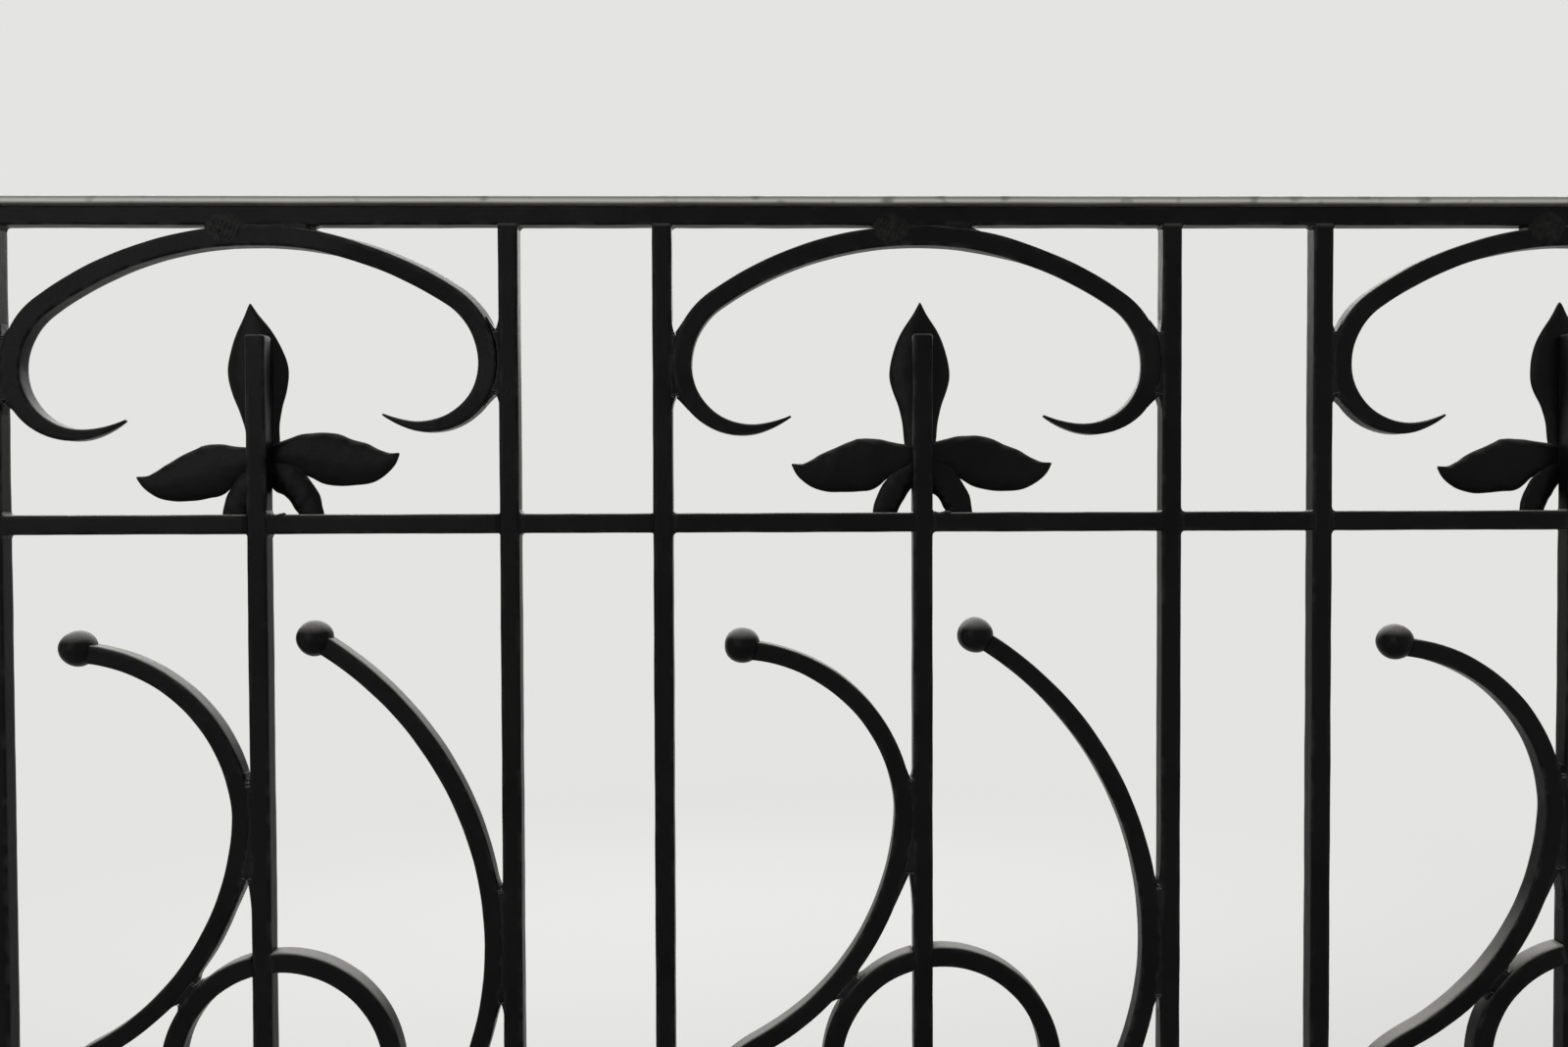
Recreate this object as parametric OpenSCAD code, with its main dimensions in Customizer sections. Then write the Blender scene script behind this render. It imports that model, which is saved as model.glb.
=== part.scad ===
// Wrought iron balcony railing with ball-ended scrolls, a ring, a horseshoe of
// tapered tendrils and a sheet-iron flower in each bay.
// X runs along the railing, -Y faces the room, +Y the street, and Z is up.
// The origin is on the underside of the middle foot plate, below the middle bay.

/* [Railing] */
// Height from the ground to the top of the handrail
rail_top = 1100; // [1000:5:1200]
// Distance between the middle lines of the top rail and the middle rail
upper_panel = 220.5; // [205:0.5:235]
// Centre height of the bottom rail
bottom_rail_z = 75.5; // [60:0.5:110]
// Distance between the bars on both sides of a bay, centre to centre
bay_w = 368; // [350:1:400]
// Distance between the bars of two neighbouring bays, centre to centre
gap_w = 110; // [80:1:130]
// How far the stem stands to the right of its bay's middle
stem_shift = 3.5; // [0:0.5:8]

/* [Bars] */
// Side of the square bars and rails
bar_w = 14; // [12:0.5:18]
// Side of the square scroll bars
scroll_w = 13.5; // [9:0.5:14]
// Side of the square bar that the ring is bent from
ring_w = 14.5; // [10:0.5:16]
// Width of the handrail strip
cap_w = 24; // [18:1:40]
// Thickness of the handrail strip
cap_t = 6; // [4:0.5:10]
// How far the handrail strip reaches past the end posts
cap_overhang = 8; // [0:1:20]
// How far the stem rises above the middle rail's middle line
stem_rise = 135.5; // [100:0.5:150]

/* [Scrolls] */
// Diameter of the balls on the scroll ends
ball_d = 26; // [18:1:30]
// How far above the lower panel's middle the left scroll touches the stem
left_touch_up = 185; // [160:0.5:200]
// Radius of a scroll's head
head_r = 124; // [100:1:135]
// Angle that a head turns through up to its ball
head_turn = 81; // [60:1:84]
// Radius of the short bend between a head and its touching point
heel_r = 74; // [40:1:90]
// Angle of that short bend
heel_turn = 6; // [4:1:12]
// How far the ball stands outside the middle of a head's bar
ball_lift = 3; // [0:0.5:6]
// Radius of the left scroll's back, below the stem
back_r = 199; // [190:1:220]
// Heading angle at which the left scroll turns the other way
back_turn = 62; // [58:1:68]
// Length along which the left scroll lies against its bay bar
flat_run = 27; // [10:1:40]
// How far above the lower panel's middle the right scroll touches its bay bar
right_touch_up = 89; // [70:0.5:110]
// Radius of the large arm that ends in a ball
arm_r = 260; // [240:1:280]
// Angle that the arm turns through up to its ball
arm_turn = 59.5; // [50:0.5:62]
// Radius of the right scroll's back, below the bay bar
belly_r = 235; // [200:1:245]
// Heading angle at which the right scroll turns the other way
belly_turn = 60; // [54:1:64]

/* [Ring] */
// Outer radius of the ring
ring_r = 87.5; // [80:0.5:90]
// Distance of the ring's centre to the right of the bay's middle
ring_x = 17; // [14:0.5:22]
// How far the ring's centre stands below the lower panel's middle
ring_drop = 1; // [-5:0.5:5]

/* [Horseshoe] */
// Width of the tendrils along their arms
horn_w = 14; // [9:0.5:15]
// Width of the tendrils at the crown, where they are welded to the top rail
crown_w = 14.5; // [12:0.5:18]
// Length of the crown's taper on each side
crown_run = 55; // [30:1:80]
// Radius of the crown
crown_r = 254; // [225:1:265]
// Angle that the crown turns through on each side
crown_turn = 35; // [33:1:39]
// Radius of the hook below the shoulder
hook_r = 46.5; // [38:0.5:52]
// Angle of the hook
hook_turn = 104; // [90:1:110]
// Radius of the tip
tip_r = 80; // [40:1:90]
// Angle of the tip
tip_turn = 16; // [10:1:40]
// Width of the tip's end
tip_w = 1.6; // [1:0.1:4]
// Turn of the horseshoe in each bay
horn_turn = [1.3, 0, 0]; // [-1.5:0.1:1.5]

/* [Flower] */
// How far the flower's heart, where its petals meet, stands above the middle rail's middle line
heart_rise = 48.5; // [38:0.5:58]
// Thickness of the sheet iron
sheet_t = 3; // [2:0.5:4]
// Length of the middle petal above the heart
petal_h = 110; // [95:1:120]
// Length of a side petal
wing_l = 95.5; // [80:0.5:110]
// Angle by which the side petals hang
wing_droop = 3.8; // [0:0.1:10]
// How far the petals' edges bend back towards the street
dish = 4; // [0:0.5:8]
// How far the petals' tips bend back towards the street
bend = 7; // [0:0.5:12]
// Turn of the flower in each bay
flower_turn = [5, 0, 2]; // [-6:0.5:6]

/* [Feet] */
// Side of the square foot plates
foot_w = 70; // [64:1:90]
// Thickness of the foot plates
foot_t = 8; // [5:0.5:12]
// Distance between the bolt holes of a foot plate
hole_gap = 48; // [40:1:50]
// Diameter of the bolt holes
hole_d = 9; // [7:0.5:11]

/* [Hidden] */
BAYS = 3;

// Places along the railing
pitch = bay_w + gap_w;
bay_x = [for (i = [0 : BAYS - 1]) (i - (BAYS - 1) / 2) * pitch];
stem_x = [for (x = bay_x) x + stem_shift];
bar_x = [for (x = bay_x, side = [-1, 1]) x + side * bay_w / 2];
post_x = bay_x[BAYS - 1] + bay_w / 2 + gap_w;
foot_x = concat([-post_x], stem_x, [post_x]);

// Heights
top_rail_z = rail_top - cap_t - bar_w / 2;
middle_rail_z = top_rail_z - upper_panel;
panel_z = (middle_rail_z + bottom_rail_z) / 2;
bar_top = top_rail_z - bar_w / 2;
bar_foot = bottom_rail_z + bar_w / 2;
stem_top = middle_rail_z + stem_rise;
heart_z = middle_rail_z + heart_rise;
left_touch_z = panel_z + left_touch_up;
right_touch_z = panel_z + right_touch_up;
ring_z = panel_z - ring_drop;

// Places in a bay, measured from its middle, where a scroll's centre line runs
// when its bar touches the stem or a bay bar
bar_side = (bay_w - bar_w - scroll_w) / 2;
stem_left = stem_shift - (bar_w + scroll_w) / 2;
stem_right = stem_shift + (bar_w + scroll_w) / 2;

// Colours and roundness
iron = [0.09, 0.09, 0.095];
iron_soft = [0.13, 0.13, 0.135];
iron_leaf = [0.11, 0.115, 0.115];
$fn = 72;
slack = 1;
fine_turn = 3;

// A pose is [x, z, heading], and a step is [radius, turn], where a positive turn
// goes to the left, or [length, 0] for a straight run
function after(p, step) =
    let (r = step[0], t = step[1], h = p[2], side = sign(t))
    t == 0 ? [p[0] + r * cos(h), p[1] + r * sin(h), h]
        : [p[0] + side * r * (sin(h + t) - sin(h)), p[1] - side * r * (cos(h + t) - cos(h)), h + t];
function pose_at(p, steps, n) = n == 0 ? p : after(pose_at(p, steps, n - 1), steps[n - 1]);

// Radius of the bend that leads on from an arc of radius r about centre x and
// runs out upright at place x = wall
function ease_r(centre, r, turn, wall) = (centre + r * cos(turn) - wall) / (1 - cos(turn));

// Length of a step and of the first n steps
function step_length(step) = step[1] == 0 ? step[0] : step[0] * abs(step[1]) * PI / 180;
function run_length(steps, n) = n == 0 ? 0 : step_length(steps[n - 1]) + run_length(steps, n - 1);

// The first share of a step
function part_of(step, share) =
    share == 0 ? [0, 0] : step[1] == 0 ? [step[0] * share, 0] : [step[0], step[1] * share];

// Poses along the steps, each with its distance from the start, so that no bend
// between two of them is larger than fine_turn
function walk(start, steps) = [
    for (i = [0 : len(steps) - 1])
        let (pieces = max(1, ceil(abs(steps[i][1]) / fine_turn)), last = i == len(steps) - 1)
            for (k = [0 : last ? pieces : pieces - 1])
                concat(after(pose_at(start, steps, i), part_of(steps[i], k / pieces)),
                    [run_length(steps, i) + k / pieces * step_length(steps[i])])
];

// The same poses in the other order, looking back, without the starting pose
function walk_back(line) = [for (i = [len(line) - 1 : -1 : 1]) [line[i][0], line[i][1], line[i][2] + 180]];

// The point beside a pose, to its left
function beside(p, off) = [p[0] - off * sin(p[2]), p[1] + off * cos(p[2])];

// A square bar along the poses
module forged(line, w) {
    rotate([90, 0, 0])
        translate([0, 0, -w / 2])
            linear_extrude(w)
                polygon(concat(
                    [for (p = line) beside(p, w / 2)],
                    [for (i = [len(line) - 1 : -1 : 0]) beside(line[i], -w / 2)]
                ));
}

// The ball on the end of a bar, lifted to the left of its heading
module ball(p, lift) {
    place = beside(p, lift);
    translate([place[0], 0, place[1]])
        sphere(d = ball_d);
}

// A scroll drawn from its upper touching point, up and down, with a ball on each end
module scroll(touch, up, down, up_lift, down_lift) {
    up_start = [touch[0], touch[1], 90];
    down_start = [touch[0], touch[1], 270];
    union() {
        forged(concat(walk_back(walk(up_start, up)), walk(down_start, down)), scroll_w);
        ball(pose_at(up_start, up, len(up)), up_lift);
        ball(pose_at(down_start, down, len(down)), down_lift);
    }
}

// Left scroll: head over the stem, back down to the left bay bar, arm to the foot
back_pose = after([stem_left, left_touch_z, 270], [heel_r, -heel_turn / 2]);
back_centre = back_pose[0] - back_r * cos(heel_turn / 2);
knee_r = ease_r(back_centre, back_r, back_turn, -bar_side);
head_steps = [[heel_r, heel_turn], [head_r, head_turn]];
left_down = [
    [heel_r, -heel_turn / 2],
    [back_r, heel_turn / 2 - back_turn],
    [knee_r, back_turn],
    [flat_run, 0],
    [arm_r, arm_turn]
];

// Right scroll: arm over the bay bar, belly back to the stem, head to the foot
hollow_r = ease_r(bar_side - belly_r, belly_r, belly_turn, stem_right);
right_down = [
    [belly_r, -belly_turn],
    [hollow_r, belly_turn],
    [heel_r, heel_turn],
    [head_r, head_turn]
];

module scroll_left(n) {
    color(iron_soft)
        translate([bay_x[n], 0, 0])
            scroll([stem_left, left_touch_z], head_steps, left_down, -ball_lift, 0);
}

module scroll_right(n) {
    color(iron_soft)
        translate([bay_x[n], 0, 0])
            scroll([bar_side, right_touch_z], [[arm_r, arm_turn]], right_down, 0, -ball_lift);
}

// The ring is two bent pieces that meet the stem's two sides
module ring(n) {
    color(iron_soft)
        difference() {
            translate([bay_x[n] + ring_x, 0, ring_z])
                rotate([90, 0, 0])
                    rotate_extrude()
                        translate([ring_r - ring_w, -ring_w / 2])
                            square(ring_w);
            translate([stem_x[n] - bar_w / 2, -ring_w, ring_z - ring_r - slack])
                cube([bar_w, 2 * ring_w, 2 * (ring_r + slack)]);
        }
}

// Centre line of a tendril, from the middle of the crown to the tip
shoulder_r = (bar_side + (scroll_w - horn_w) / 2 - crown_r * sin(crown_turn)) / (1 - sin(crown_turn));
horn_steps = [
    [crown_r, -crown_turn],
    [shoulder_r, crown_turn - 90],
    [hook_r, -hook_turn],
    [tip_r, -tip_turn]
];
horn_start = [0, bar_top - crown_w / 2, 0];
horn_length = run_length(horn_steps, len(horn_steps));
horn_body = run_length(horn_steps, 2);
horn_line = walk(horn_start, horn_steps);

// Height at which the tendrils are widest apart and lie against the bay bars
horn_z = pose_at(horn_start, horn_steps, 2)[1];

// Width of a tendril at a distance from the crown's middle
function horn_half(s) =
    s < crown_run ? (crown_w + (horn_w - crown_w) * s / crown_run) / 2
        : s < horn_body ? horn_w / 2
        : (horn_w + (tip_w - horn_w) * pow((s - horn_body) / (horn_length - horn_body), 2)) / 2;

// Faces of a tube of rings with four corners, closed at both ends
function tube_faces(rings) = concat(
    [[0, 2, 1], [0, 3, 2]],
    [for (i = [0 : rings - 2], k = [0 : 3])
        let (a = 4 * i + k, b = 4 * i + (k + 1) % 4) each [[a, b + 4, a + 4], [a, b, b + 4]]],
    [let (e = 4 * (rings - 1)) each [[e, e + 1, e + 2], [e, e + 2, e + 3]]]
);

module tendril(n, side) {
    points = [
        for (p = horn_line)
            let (half = horn_half(p[3]), deep = min(horn_w / 2, half * 1.6))
                for (k = [[1, -1], [1, 1], [-1, 1], [-1, -1]])
                    [p[0] - sin(p[2]) * half * k[0], deep * k[1], p[1] + cos(p[2]) * half * k[0]]
    ];
    color(iron_soft)
        translate([bay_x[n], 0, horn_z])
            rotate([0, -horn_turn[n], 0])
                mirror([side < 0 ? 1 : 0, 0, 0])
                    translate([0, 0, -horn_z])
                        polyhedron(points, tube_faces(len(horn_line)));
}

// Petals: half widths along the petal, as [share of the length, half width]
petal_half = [
    [0, 9], [0.16, 11.8], [0.29, 13.2], [0.375, 15.8], [0.46, 19.6], [0.55, 21.9],
    [0.64, 21.4], [0.72, 19], [0.84, 12.3], [0.94, 4.5], [1, 0.6]
];
wing_half = [[0, 7], [0.2, 13.3], [0.37, 18], [0.52, 18.8], [0.68, 15.5], [0.84, 10], [0.95, 4], [1, 0.6]];
root_half = [[0, 7], [0.3, 9], [0.6, 9.5], [1, 8]];
petal_rows = 12;
petal_columns = 4;
wing_sag = 7;

// First value or point for the right-hand petal, second for the left-hand one
wing_late = [3, 2];
root_tip = [[30.5, -48], [28, -49]];
root_bow = [[27, -21], [24, -24]];
root_start = [2, -8];

// Middle lines of the petals, from the heart outwards
petal_line = [for (i = [0 : petal_rows]) [0, (petal_h + 10) * i / petal_rows - 10]];
function wing_line(side) = [
    for (i = [0 : petal_rows])
        let (t = i / petal_rows, s = wing_l * t, sag = wing_sag * sin(180 * pow(t, wing_late[side])))
            [s * cos(wing_droop) - sag * sin(wing_droop), -s * sin(wing_droop) - sag * cos(wing_droop)]
];
function root_line(side) = [
    for (i = [0 : petal_rows])
        let (t = i / petal_rows)
            (1 - t) * (1 - t) * root_start + 2 * t * (1 - t) * root_bow[side] + t * t * root_tip[side]
];

// A dished sheet petal around a middle line, in the plane behind the stem
module petal(line, halves, tip_bend) {
    rows = len(line) - 1;
    columns = petal_columns;
    side_count = (rows + 1) * (columns + 1);
    points = [
        for (back = [0, 1], i = [0 : rows], j = [0 : columns])
            let (
                along = line[min(i + 1, rows)] - line[max(i - 1, 0)],
                across = [along[1], -along[0]] / norm(along),
                t = i / rows,
                s = 2 * j / columns - 1,
                half = lookup(t, halves)
            )
                [line[i][0] + across[0] * half * s,
                    bar_w / 2 + back * sheet_t + dish * s * s * half / 20 + tip_bend * t * t,
                    line[i][1] + across[1] * half * s]
    ];
    at = function (back, i, j) back * side_count + i * (columns + 1) + j;
    faces = concat(
        [for (i = [0 : rows - 1], j = [0 : columns - 1]) each [
            [at(0, i, j), at(0, i + 1, j), at(0, i + 1, j + 1)],
            [at(0, i, j), at(0, i + 1, j + 1), at(0, i, j + 1)],
            [at(1, i, j), at(1, i + 1, j + 1), at(1, i + 1, j)],
            [at(1, i, j), at(1, i, j + 1), at(1, i + 1, j + 1)]]],
        [for (i = [0 : rows - 1]) each [
            [at(0, i, 0), at(1, i, 0), at(1, i + 1, 0)],
            [at(0, i, 0), at(1, i + 1, 0), at(0, i + 1, 0)],
            [at(0, i, columns), at(1, i + 1, columns), at(1, i, columns)],
            [at(0, i, columns), at(0, i + 1, columns), at(1, i + 1, columns)]]],
        [for (j = [0 : columns - 1]) each [
            [at(0, 0, j), at(1, 0, j + 1), at(1, 0, j)],
            [at(0, 0, j), at(0, 0, j + 1), at(1, 0, j + 1)],
            [at(0, rows, j), at(1, rows, j), at(1, rows, j + 1)],
            [at(0, rows, j), at(1, rows, j + 1), at(0, rows, j + 1)]]]
    );
    polyhedron(points, faces);
}

module flower(n) {
    color(iron_leaf)
        translate([stem_x[n], 0, heart_z])
            rotate([0, -flower_turn[n], 0])
                union() {
                    petal(petal_line, petal_half, bend);
                    for (side = [0, 1])
                        mirror([side, 0, 0]) {
                            petal(wing_line(side), wing_half, bend);
                            petal(root_line(side), root_half, 0);
                        }
                }
}

// Upright bars
module upright(x, low, high) {
    translate([x - bar_w / 2, -bar_w / 2, low])
        cube([bar_w, bar_w, high - low]);
}

module end_post(side) {
    color(iron)
        upright(side * post_x, foot_t, bar_top);
}

module bay_bar(n) {
    color(iron)
        upright(bar_x[n], bar_foot, bar_top);
}

module stem(n) {
    color(iron)
        upright(stem_x[n], foot_t, stem_top);
}

// Rails: lengths of bar between the uprights at places xs
module rail(xs, z) {
    color(iron)
        for (i = [0 : len(xs) - 2])
            translate([xs[i] + bar_w / 2, -bar_w / 2, z - bar_w / 2])
                cube([xs[i + 1] - xs[i] - bar_w, bar_w, bar_w]);
}

middle_stops = concat(
    [-post_x],
    [for (i = [0 : BAYS - 1]) each [bar_x[2 * i], stem_x[i], bar_x[2 * i + 1]]],
    [post_x]
);

module middle_rail() {
    rail(middle_stops, middle_rail_z);
}

module bottom_rail() {
    rail(foot_x, bottom_rail_z);
}

module top_rail() {
    color(iron)
        translate([-post_x - bar_w / 2, -bar_w / 2, top_rail_z - bar_w / 2])
            cube([2 * post_x + bar_w, bar_w, bar_w]);
}

// The handrail strip has half-round edges
module handrail() {
    color(iron)
        translate([-post_x - bar_w / 2 - cap_overhang, 0, rail_top - cap_t / 2])
            rotate([90, 0, 90])
                linear_extrude(2 * (post_x + cap_overhang) + bar_w)
                    union() {
                        square([cap_w - cap_t, cap_t], center = true);
                        for (side = [-1, 1])
                            translate([side * (cap_w - cap_t) / 2, 0])
                                circle(d = cap_t);
                    }
}

module foot(n) {
    color(iron)
        translate([foot_x[n], 0, 0])
            difference() {
                translate([-foot_w / 2, -foot_w / 2, 0])
                    cube([foot_w, foot_w, foot_t]);
                for (x = [-1, 1], y = [-1, 1])
                    translate([x * hole_gap / 2, y * hole_gap / 2, -slack])
                        cylinder(d = hole_d, h = foot_t + 2 * slack);
            }
}

handrail();
top_rail();
middle_rail();
bottom_rail();
end_post(-1);  // end_post_left
end_post(1);  // end_post_right
for (n = [0 : 2 * BAYS - 1])
    bay_bar(n);
for (n = [0 : BAYS - 1]) {
    stem(n);
    tendril(n, -1);
    tendril(n, 1);
    flower(n);
    scroll_left(n);
    scroll_right(n);
    ring(n);
}
for (n = [0 : len(foot_x) - 1])
    foot(n);
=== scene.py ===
import math

import bpy
import numpy as np
from mathutils import Matrix


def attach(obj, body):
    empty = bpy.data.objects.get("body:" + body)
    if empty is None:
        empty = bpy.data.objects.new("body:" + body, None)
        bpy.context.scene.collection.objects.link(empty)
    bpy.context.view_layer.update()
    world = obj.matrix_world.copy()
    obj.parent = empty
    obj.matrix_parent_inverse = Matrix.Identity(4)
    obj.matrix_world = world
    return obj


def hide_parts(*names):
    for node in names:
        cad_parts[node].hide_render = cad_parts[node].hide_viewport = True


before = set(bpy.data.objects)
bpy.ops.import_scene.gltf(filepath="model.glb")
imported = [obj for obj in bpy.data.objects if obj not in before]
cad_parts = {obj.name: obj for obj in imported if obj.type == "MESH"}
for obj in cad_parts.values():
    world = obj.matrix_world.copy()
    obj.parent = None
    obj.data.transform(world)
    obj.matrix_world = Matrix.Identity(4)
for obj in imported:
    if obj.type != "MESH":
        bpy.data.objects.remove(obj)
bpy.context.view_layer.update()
print("frame loaded:", len(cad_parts), "nodes")

mm = 0.001


def addObject(name, data):
    made = bpy.data.objects.new(name, data)
    bpy.context.scene.collection.objects.link(made)
    return made


# Camera: inside the room, left of the middle bay's stem and just above the middle rail
photoView = {
    "place": (-0.1116, -0.9028, 0.8845),
    "turn": -0.94,
    "tilt": -1.19,
    "roll": 0.185,
    "focalPixels": 1270,
    "pictureWidth": 1600,
    "sensorWidth": 36.0,
}
cameraData = bpy.data.cameras.new("roomCamera")
cameraData.sensor_width = photoView["sensorWidth"]
cameraData.lens = photoView["sensorWidth"] * photoView["focalPixels"] / photoView["pictureWidth"]
cameraData.clip_start = 0.05
cameraData.clip_end = 60
roomCamera = addObject("roomCamera", cameraData)
turns = [(photoView["turn"], "Z"), (photoView["tilt"], "X"), (photoView["roll"], "Y"), (90, "X")]
lookAt = Matrix.Identity(3)
for angle, axis in turns:
    lookAt = lookAt @ Matrix.Rotation(math.radians(angle), 3, axis)
roomCamera.rotation_euler = lookAt.to_euler()
roomCamera.location = photoView["place"]
bpy.context.scene.camera = roomCamera
print("camera set")


# Colours and nodes
def hexColour(code):
    # sRGB to linear: c / 12.92 near black, else ((c + 0.055) / 1.055) ^ 2.4
    parts = [int(code[k:k + 2], 16) / 255 for k in (1, 3, 5)]
    return tuple(c / 12.92 if c <= 0.04045 else ((c + 0.055) / 1.055) ** 2.4 for c in parts) + (1.0,)


def addNode(tree, kind, settings=None, inputs=None):
    # inputs are values or other nodes' outputs, by socket name or number; on a colour
    # mix 0 is the factor, 6 and 7 are the two colours, and output 2 is the result
    node = tree.nodes.new(kind)
    for name, value in (settings or {}).items():
        setattr(node, name, value)
    for socket, value in (inputs or {}).items():
        if isinstance(value, bpy.types.NodeSocket):
            tree.links.new(value, node.inputs[socket])
        else:
            node.inputs[socket].default_value = value
    return node


def perMetre(sizeMm):
    # texture scale that gives one feature in this many millimetres
    return 1000.0 / sizeMm


# Oil paint brushed on hot-rolled steel in several coats: near black and half
# matt, with soft patches, brush marks along the bar, filled pits of mill scale,
# dust on what faces up, lightened further as a painted sky highlight, and thin paint along the arrises, partly painted
# highlights on the handrail
def ironPaint(name, look):
    material = bpy.data.materials.new(name)
    material.use_nodes = True
    tree = material.node_tree
    tree.nodes.clear()
    place = addNode(tree, "ShaderNodeTexCoord").outputs["Object"]
    normal = addNode(tree, "ShaderNodeNewGeometry").outputs["Normal"]
    stretched = addNode(tree, "ShaderNodeMapping", inputs={
        "Vector": place, "Scale": look["brushStretch"]}).outputs["Vector"]
    patches, brush, hammer, grit = (addNode(tree, "ShaderNodeTexNoise", inputs={
        "Vector": where, "Scale": perMetre(look[size]), "Detail": detail, "Roughness": broken}).outputs["Fac"]
        for where, size, detail, broken in ((place, "patchMm", 4.0, 0.6), (stretched, "brushMm", 3.0, 0.55),
                                            (place, "hammerMm", 1.0, 0.5), (place, "gritMm", 2.0, 0.5)))
    pits = addNode(tree, "ShaderNodeTexVoronoi", inputs={
        "Vector": place, "Scale": perMetre(look["pitMm"]), "Randomness": 1.0}).outputs["Distance"]
    pitDepth = addNode(tree, "ShaderNodeMapRange", {"interpolation_type": "SMOOTHSTEP"}, {
        "Value": pits, "From Min": 0.05, "From Max": 0.3}).outputs["Result"]

    tone = addNode(tree, "ShaderNodeMapRange", inputs={
        "Value": patches, "From Min": 0.35, "From Max": 0.65}).outputs["Result"]
    paint = addNode(tree, "ShaderNodeMix", {"data_type": "RGBA"}, {
        0: tone, 6: hexColour(look["dark"]), 7: hexColour(look["light"])}).outputs[2]

    # dust and a painted sky highlight: lighter where the surface faces up, broken by grit
    up = addNode(tree, "ShaderNodeSeparateXYZ", inputs={0: normal}).outputs["Z"]
    flatness = addNode(tree, "ShaderNodeMapRange", {"interpolation_type": "SMOOTHSTEP"}, {
        "Value": up, "From Min": 0.3, "From Max": 0.95}).outputs["Result"]
    speckle = addNode(tree, "ShaderNodeMapRange", inputs={
        "Value": grit, "From Min": 0.35, "From Max": 0.7,
        "To Min": 0.7 * look["dustAndSkyLight"], "To Max": look["dustAndSkyLight"]}).outputs["Result"]
    dustAndSkyLight = addNode(tree, "ShaderNodeMath", {"operation": "MULTIPLY"}, {0: flatness, 1: speckle}).outputs[0]
    withDustAndSkyLight = addNode(tree, "ShaderNodeMix", {"data_type": "RGBA"}, {
        0: dustAndSkyLight, 6: paint, 7: hexColour(look["dustAndSkyLightTone"])}).outputs[2]

    # wear, and on the handrail painted highlight lines too: the arris attribute is 1 along a bar's rounded edges
    arris = addNode(tree, "ShaderNodeAttribute", {"attribute_name": "arris"}).outputs["Fac"]
    rubbedAndLit = addNode(tree, "ShaderNodeMapRange", inputs={
        "Value": hammer, "From Min": look["wearAndHighlightFrom"], "From Max": look["wearAndHighlightFrom"] + 0.18,
        "To Max": look["wearAndHighlight"]}).outputs["Result"]
    wearAndHighlight = addNode(tree, "ShaderNodeMath", {"operation": "MULTIPLY"}, {0: arris, 1: rubbedAndLit}).outputs[0]
    colour = addNode(tree, "ShaderNodeMix", {"data_type": "RGBA"}, {
        0: wearAndHighlight, 6: withDustAndSkyLight, 7: hexColour(look["wornAndHighlightTone"])}).outputs[2]

    sheen = addNode(tree, "ShaderNodeMapRange", inputs={
        "Value": brush, "From Min": 0.3, "From Max": 0.7,
        "To Min": look["glossy"], "To Max": look["matt"]}).outputs["Result"]
    roughness = addNode(tree, "ShaderNodeMath", {"operation": "MULTIPLY_ADD", "use_clamp": True}, {
        0: dustAndSkyLight, 1: 0.25, 2: sheen}).outputs[0]

    # dents, then brush strokes on them, then holes
    relief = {}
    for height, strength, depth in ((hammer, 0.5, "hammerDepthMm"), (brush, 0.5, "brushDepthMm"),
                                    (pitDepth, 0.6, "pitDepthMm")):
        bump = addNode(tree, "ShaderNodeBump", inputs=relief | {
            "Height": height, "Strength": strength, "Distance": look[depth] * mm})
        relief = {"Normal": bump.outputs["Normal"]}
    shader = addNode(tree, "ShaderNodeBsdfPrincipled", inputs=relief | {
        "Base Color": colour, "Roughness": roughness, "IOR": 1.5, "Specular IOR Level": look["shine"]})
    addNode(tree, "ShaderNodeOutputMaterial", inputs={"Surface": shader.outputs["BSDF"]})
    return material


basePaint = {
    "dark": "#09090a", "light": "#121213", "patchMm": 70, "brushMm": 1.4, "brushStretch": (1, 1, 1),
    "hammerMm": 14, "gritMm": 0.9, "pitMm": 5, "dustAndSkyLight": 0.4, "dustAndSkyLightTone": "#a9a8a2", "wearAndHighlight": 0.4, "wearAndHighlightFrom": 0.48,
    "wornAndHighlightTone": "#3c3b3a", "glossy": 0.15, "matt": 0.28, "hammerDepthMm": 0.5, "brushDepthMm": 0.09,
    "pitDepthMm": 0.12, "shine": 0.07,
}
# Upright bars: brushed up and down, so the marks are ten times longer in Z
uprightPaint = ironPaint("uprightBarPaint", basePaint | {
    "brushStretch": (1, 1, 0.1), "glossy": 0.3, "matt": 0.46})
# Rails: brushed along X, and lighter on top, with dust and a painted sky highlight
railPaint = ironPaint("railPaint", basePaint | {
    "brushStretch": (0.1, 1, 1), "glossy": 0.3, "matt": 0.46, "dustAndSkyLight": 0.75, "dustAndSkyLightTone": "#bdbcb6"})
# Forged scrolls and tendrils: the hammer's flats show through the paint, and their tops get more dust and painted sky
# highlight
scrollPaint = ironPaint("forgedScrollPaint", basePaint | {
    "hammerMm": 10, "hammerDepthMm": 0.9, "brushMm": 1.8, "dustAndSkyLight": 0.6, "dustAndSkyLightTone": "#bdbcb6", "glossy": 0.26,
    "matt": 0.42})
# Sheet-iron flower: thinner paint, more even and a little more matt
leafPaint = ironPaint("sheetFlowerPaint", basePaint | {
    "hammerMm": 8, "hammerDepthMm": 0.6, "glossy": 0.26, "matt": 0.42, "pitMm": 4, "wearAndHighlight": 0.2})
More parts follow.
